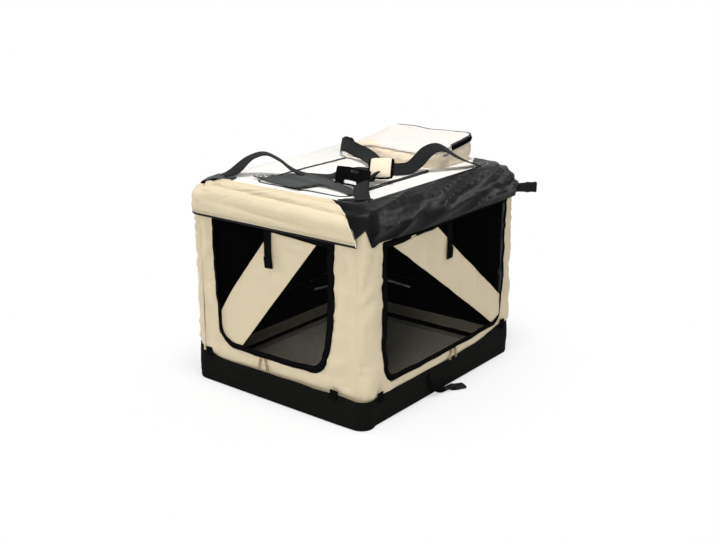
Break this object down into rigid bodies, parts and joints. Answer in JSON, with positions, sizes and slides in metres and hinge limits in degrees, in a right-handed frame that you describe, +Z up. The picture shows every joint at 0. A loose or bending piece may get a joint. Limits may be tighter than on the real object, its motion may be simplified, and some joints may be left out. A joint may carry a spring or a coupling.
{
  "type": "folding dog crate",
  "caption": "Soft-sided folding dog crate: steel tube frame with locking knee joints, cloth walls, zipped net doors, a zipped roof hatch, a lidded roof pocket and webbing handles.",
  "frame": {"origin": "centre of the crate's flat floor underside, on the ground", "axes": "+Z up, +Y to the end with the roof pocket (the long way), +X to the side with the wide net door; -Y is the end with the net door"},
  "size_m": [0.6435, 0.7515, 0.6193],
  "materials": {
    "cream_cloth": "matt cream woven polyester",
    "black_cloth": "matt black woven polyester",
    "black_nylon": "black coated nylon with a low sheen",
    "black_webbing": "black ribbed webbing and binding tape",
    "black_net": "black fine mesh",
    "grey_steel": "grey powder coat on steel tube",
    "black_plastic": "moulded black plastic",
    "zip_metal": "dark zinc zip sliders",
    "mat_fleece": "dark grey fleece"
  },
  "bodies": {
    "base": {"base_tray": "black_cloth", "base_skirt": "black_cloth", "base_ring": "grey_steel", "floor_mat": "mat_fleece", "base_hinge_front_left": "grey_steel", "base_hinge_front_right": "grey_steel", "base_hinge_rear_left": "grey_steel", "base_hinge_rear_right": "grey_steel", "front_wall": "cream_cloth", "rear_wall": "cream_cloth", "left_wall": "cream_cloth", "right_wall": "cream_cloth"},
    "front_lower_legs": {"lower_leg_front_left": "grey_steel", "lower_leg_front_right": "grey_steel"},
    "front_upper_legs": {"upper_leg_front_left": "grey_steel", "upper_leg_front_right": "grey_steel"},
    "roof": {"front_arch": "grey_steel", "rear_arch": "grey_steel", "left_rail": "grey_steel", "right_rail": "grey_steel", "front_eave": "cream_cloth", "rear_eave": "cream_cloth", "left_eave": "black_nylon", "right_eave": "black_nylon", "roof_panel": "cream_cloth", "roof_net": "black_net", "pocket_gusset": "cream_cloth", "front_tie": "black_webbing", "side_tie": "black_webbing", "left_window_net": "black_net", "rear_window_net": "black_net"},
    "rear_lower_legs": {"lower_leg_rear_left": "grey_steel", "lower_leg_rear_right": "grey_steel"},
    "rear_upper_legs": {"upper_leg_rear_left": "grey_steel", "upper_leg_rear_right": "grey_steel"},
    "button_front_left": {"knee_button_front_left": "black_plastic"},
    "button_front_right": {"knee_button_front_right": "black_plastic"},
    "button_rear_left": {"knee_button_rear_left": "black_plastic"},
    "button_rear_right": {"knee_button_rear_right": "black_plastic"},
    "front_door": {"front_door_binding": "black_webbing", "front_door_net": "black_net", "front_door_strip": "cream_cloth"},
    "side_door": {"right_door_binding": "black_webbing", "right_door_net": "black_net", "right_door_strip": "cream_cloth"},
    "left_cover": {"left_window_cover": "cream_cloth"},
    "rear_cover": {"rear_window_cover": "cream_cloth"},
    "hatch": {"roof_hatch": "cream_cloth"},
    "lid": {"pocket_lid": "cream_cloth"},
    "carry_handle_front": {"front_handle": "black_webbing", "handle_grip": "cream_cloth"},
    "carry_handle_rear": {"rear_handle": "black_webbing"},
    "slider_front_left": {"front_slider_left": "zip_metal"},
    "slider_front_right": {"front_slider_right": "zip_metal"},
    "slider_side_front": {"side_slider_front": "zip_metal"},
    "slider_side_rear": {"side_slider_rear": "zip_metal"},
    "slider_hatch": {"hatch_slider": "zip_metal"},
    "slider_pocket": {"pocket_slider": "zip_metal"},
    "buckle_lower": {"lower_buckle": "black_plastic"},
    "buckle_upper": {"upper_buckle": "black_plastic"}
  },
  "joints": [
    {"name": "fold", "type": "hinge", "parent": "base", "child": "front_lower_legs", "pos_m": [0, -0.324, 0.0398], "axis": [-1, 0, 0], "range_deg": [0, 82], "deforming": ["base_skirt", "front_wall", "rear_wall", "left_wall", "right_wall", "front_door_binding", "front_door_net", "front_door_strip", "right_door_binding", "right_door_net", "right_door_strip", "left_window_net", "left_window_cover", "rear_window_net", "rear_window_cover", "front_tie", "side_tie"]},
    {"name": "front_knee", "type": "hinge", "parent": "front_lower_legs", "child": "front_upper_legs", "pos_m": [0, -0.324, 0.2654], "axis": [-1, 0, 0], "range_deg": [-164, 0]},
    {"name": "front_top_pivot", "type": "hinge", "parent": "front_upper_legs", "child": "roof", "pos_m": [0, -0.324, 0.491], "axis": [-1, 0, 0], "range_deg": [0, 82]},
    {"name": "rear_fold", "type": "hinge", "parent": "base", "child": "rear_lower_legs", "pos_m": [0, 0.324, 0.0398], "axis": [1, 0, 0], "range_deg": [0, 82]},
    {"name": "rear_knee", "type": "hinge", "parent": "rear_lower_legs", "child": "rear_upper_legs", "pos_m": [0, 0.324, 0.2654], "axis": [1, 0, 0], "range_deg": [-164, 0]},
    {"name": "press_button_front_left", "type": "slide", "parent": "front_lower_legs", "child": "button_front_left", "axis": [-1, 0, 0], "range_m": [0, 0.0025], "stiffness_N_per_m": 300, "springref_m": -0.001},
    {"name": "press_button_front_right", "type": "slide", "parent": "front_lower_legs", "child": "button_front_right", "axis": [1, 0, 0], "range_m": [0, 0.0025], "stiffness_N_per_m": 300, "springref_m": -0.001},
    {"name": "press_button_rear_left", "type": "slide", "parent": "rear_lower_legs", "child": "button_rear_left", "axis": [-1, 0, 0], "range_m": [0, 0.0025], "stiffness_N_per_m": 300, "springref_m": -0.001},
    {"name": "press_button_rear_right", "type": "slide", "parent": "rear_lower_legs", "child": "button_rear_right", "axis": [1, 0, 0], "range_m": [0, 0.0025], "stiffness_N_per_m": 300, "springref_m": -0.001},
    {"name": "front_door_swing", "type": "hinge", "parent": "roof", "child": "front_door", "pos_m": [0, -0.35, 0.464], "axis": [-1, 0, 0], "range_deg": [0, 90]},
    {"name": "side_door_swing", "type": "hinge", "parent": "roof", "child": "side_door", "pos_m": [0.29, 0, 0.464], "axis": [0, -1, 0], "range_deg": [0, 90]},
    {"name": "left_cover_swing", "type": "hinge", "parent": "roof", "child": "left_cover", "pos_m": [-0.29, 0, 0.464], "axis": [0, 1, 0], "range_deg": [0, 90]},
    {"name": "rear_cover_swing", "type": "hinge", "parent": "roof", "child": "rear_cover", "pos_m": [0, 0.35, 0.464], "axis": [1, 0, 0], "range_deg": [0, 90]},
    {"name": "hatch_swing", "type": "hinge", "parent": "roof", "child": "hatch", "pos_m": [0, 0.105, 0.5605], "axis": [-1, 0, 0], "range_deg": [0, 90], "deforming": ["front_handle", "handle_grip", "rear_handle"]},
    {"name": "lid_swing", "type": "hinge", "parent": "roof", "child": "lid", "pos_m": [0, 0.128, 0.6045], "axis": [1, 0, 0], "range_deg": [0, 90]},
    {"name": "front_handle_lift", "type": "hinge", "parent": "roof", "child": "carry_handle_front", "pos_m": [0, -0.2845, 0.5608], "axis": [1, 0, 0], "range_deg": [0, 85]},
    {"name": "rear_handle_lift", "type": "hinge", "parent": "roof", "child": "carry_handle_rear", "pos_m": [0, 0.232, 0.5608], "axis": [-1, 0, 0], "range_deg": [0, 85]},
    {"name": "front_zip_left", "type": "slide", "parent": "base", "child": "slider_front_left", "axis": [-1, 0, 0], "range_m": [0, 0.08]},
    {"name": "front_zip_right", "type": "slide", "parent": "base", "child": "slider_front_right", "axis": [1, 0, 0], "range_m": [0, 0.14]},
    {"name": "side_zip_front", "type": "slide", "parent": "base", "child": "slider_side_front", "axis": [0, -1, 0], "range_m": [0, 0.25]},
    {"name": "side_zip_rear", "type": "slide", "parent": "base", "child": "slider_side_rear", "axis": [0, 1, 0], "range_m": [0, 0.19]},
    {"name": "hatch_zip", "type": "slide", "parent": "roof", "child": "slider_hatch", "axis": [0, 1, 0], "range_m": [0, 0.3]},
    {"name": "pocket_zip", "type": "slide", "parent": "roof", "child": "slider_pocket", "axis": [0, 1, 0], "range_m": [0, 0.1]},
    {"name": "lower_buckle_swing", "type": "hinge", "parent": "base", "child": "buckle_lower", "pos_m": [0.30253, -0.015, 0.0053], "axis": [0.866, -0.5, 0], "range_deg": [0, 70]},
    {"name": "upper_buckle_swing", "type": "hinge", "parent": "roof", "child": "buckle_upper", "pos_m": [0.28757, 0.34757, 0.488], "axis": [0, 0, 1], "range_deg": [0, 65]}
  ],
  "couplings": [
    {"joint": "front_knee", "follows": "fold", "ratio": -2},
    {"joint": "front_top_pivot", "follows": "fold", "ratio": 1},
    {"joint": "rear_fold", "follows": "fold", "ratio": 1},
    {"joint": "rear_knee", "follows": "fold", "ratio": -2}
  ]
}
